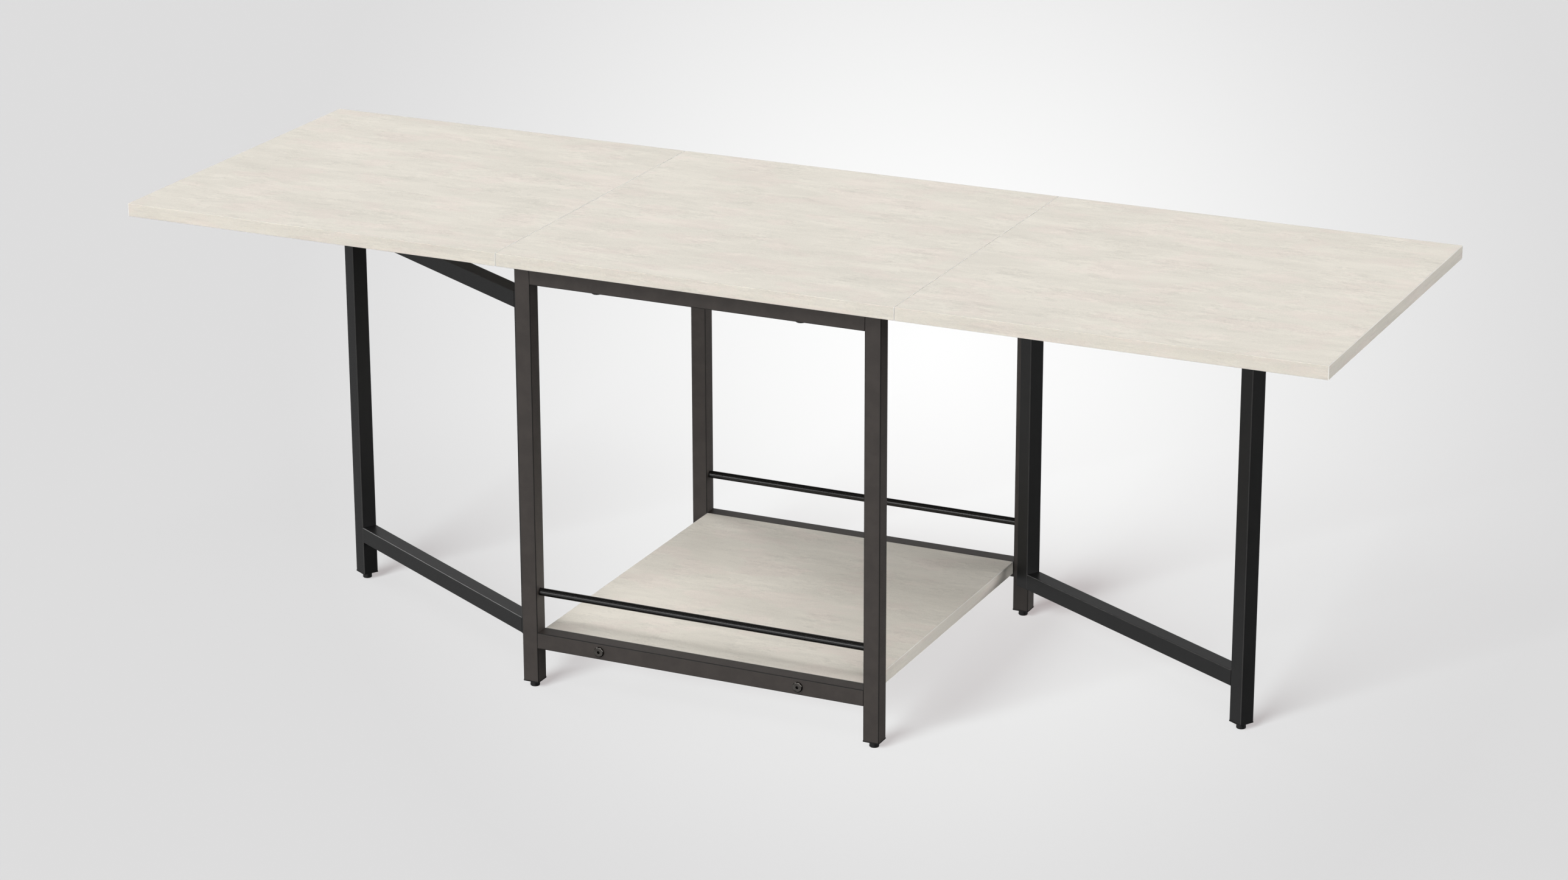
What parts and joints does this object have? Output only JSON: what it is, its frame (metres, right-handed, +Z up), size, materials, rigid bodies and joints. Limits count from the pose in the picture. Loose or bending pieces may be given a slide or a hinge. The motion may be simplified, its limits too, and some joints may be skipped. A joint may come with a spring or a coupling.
{
  "type": "drop-leaf gateleg table",
  "caption": "Long drop-leaf table: pale boards on a dark square-tube frame with a low shelf and guard rods; swinging gate legs stand under the hinged leaves.",
  "frame": {"origin": "on the floor under the middle of the table, with both leaves up", "axes": "+X along the table from the left leaf to the right leaf, +Y from front to back, +Z up"},
  "size_m": [2.1, 0.69, 0.752],
  "materials": {
    "frame_paint": "satin",
    "gate_paint": "satin",
    "rod_paint": "semi-gloss",
    "board": "matte laminate",
    "edge_band": "matte",
    "black_plastic": "satin",
    "soft_pad": "matte",
    "hinge_steel": "zinc plated",
    "screw_steel": "zinc plated",
    "black_steel": "satin black",
    "insert_steel": "zinc plated"
  },
  "bodies": {
    "frame": {"centre_bands": "edge_band", "centre_top": "board", "gate_hinge_leg_plates": "black_steel", "gate_hinge_leg_screws": "black_steel", "gate_hinge_pins": "black_steel", "guard_rod_front": "rod_paint", "guard_rod_rear": "rod_paint", "leaf_hinge_centre_plates": "hinge_steel", "leaf_hinge_centre_screws": "screw_steel", "leaf_hinge_pins": "hinge_steel", "leg_front_left": "frame_paint", "leg_front_right": "frame_paint", "leg_plugs": "black_plastic", "leg_rear_left": "frame_paint", "leg_rear_right": "frame_paint", "lower_rail_front": "frame_paint", "lower_rail_rear": "frame_paint", "shelf": "board", "shelf_bands": "edge_band", "shelf_bolts": "black_steel", "shelf_inserts": "insert_steel", "top_bolts": "black_steel", "top_inserts": "insert_steel", "top_rail_front": "frame_paint", "top_rail_rear": "frame_paint"},
    "right_leaf_board": {"right_leaf": "board", "right_leaf_bands": "edge_band", "right_leaf_hinge_plates": "hinge_steel", "right_leaf_screws": "screw_steel", "right_gate_stop": "soft_pad"},
    "right_gate_frame": {"right_gate_post": "gate_paint", "right_gate_outer_leg": "gate_paint", "right_gate_upper_rail": "gate_paint", "right_gate_lower_rail": "gate_paint", "right_gate_post_plugs": "black_plastic", "right_gate_top_pad": "soft_pad", "right_gate_foot_plug": "black_plastic", "right_gate_hinge_plates": "black_steel", "right_gate_hinge_screws": "black_steel"},
    "right_gate_foot_body": {"right_gate_foot": "black_plastic"},
    "left_leaf_board": {"left_leaf": "board", "left_leaf_bands": "edge_band", "left_leaf_hinge_plates": "hinge_steel", "left_leaf_screws": "screw_steel", "left_gate_stop": "soft_pad"},
    "left_gate_frame": {"left_gate_post": "gate_paint", "left_gate_outer_leg": "gate_paint", "left_gate_upper_rail": "gate_paint", "left_gate_lower_rail": "gate_paint", "left_gate_post_plugs": "black_plastic", "left_gate_top_pad": "soft_pad", "left_gate_foot_plug": "black_plastic", "left_gate_hinge_plates": "black_steel", "left_gate_hinge_screws": "black_steel"},
    "left_gate_foot_body": {"left_gate_foot": "black_plastic"},
    "foot_front_left_body": {"foot_front_left": "black_plastic"},
    "foot_front_right_body": {"foot_front_right": "black_plastic"},
    "foot_rear_left_body": {"foot_rear_left": "black_plastic"},
    "foot_rear_right_body": {"foot_rear_right": "black_plastic"}
  },
  "joints": [
    {"name": "right_gate_swing", "type": "hinge", "parent": "frame", "child": "right_gate_frame", "pos_m": [0.326, 0.3, 0.371], "axis": [0, 0, 1], "range_deg": [-60.38, 0]},
    {"name": "right_leaf_lift", "type": "hinge", "parent": "frame", "child": "right_leaf_board", "pos_m": [0.35, 0, 0.727], "axis": [0, -1, 0], "range_deg": [0, 1]},
    {"name": "right_gate_foot_screw", "type": "slide", "parent": "right_gate_frame", "child": "right_gate_foot_body", "axis": [0, 0, -1], "range_m": [0, 0.008]},
    {"name": "left_gate_swing", "type": "hinge", "parent": "frame", "child": "left_gate_frame", "pos_m": [-0.326, -0.3, 0.371], "axis": [0, 0, 1], "range_deg": [-60.38, 0]},
    {"name": "left_leaf_lift", "type": "hinge", "parent": "frame", "child": "left_leaf_board", "pos_m": [-0.35, 0, 0.727], "axis": [0, 1, 0], "range_deg": [0, 1]},
    {"name": "left_gate_foot_screw", "type": "slide", "parent": "left_gate_frame", "child": "left_gate_foot_body", "axis": [0, 0, -1], "range_m": [0, 0.008]},
    {"name": "foot_front_left_screw", "type": "slide", "parent": "frame", "child": "foot_front_left_body", "axis": [0, 0, -1], "range_m": [0, 0.008]},
    {"name": "foot_front_right_screw", "type": "slide", "parent": "frame", "child": "foot_front_right_body", "axis": [0, 0, -1], "range_m": [0, 0.008]},
    {"name": "foot_rear_left_screw", "type": "slide", "parent": "frame", "child": "foot_rear_left_body", "axis": [0, 0, -1], "range_m": [0, 0.008]},
    {"name": "foot_rear_right_screw", "type": "slide", "parent": "frame", "child": "foot_rear_right_body", "axis": [0, 0, -1], "range_m": [0, 0.008]}
  ]
}
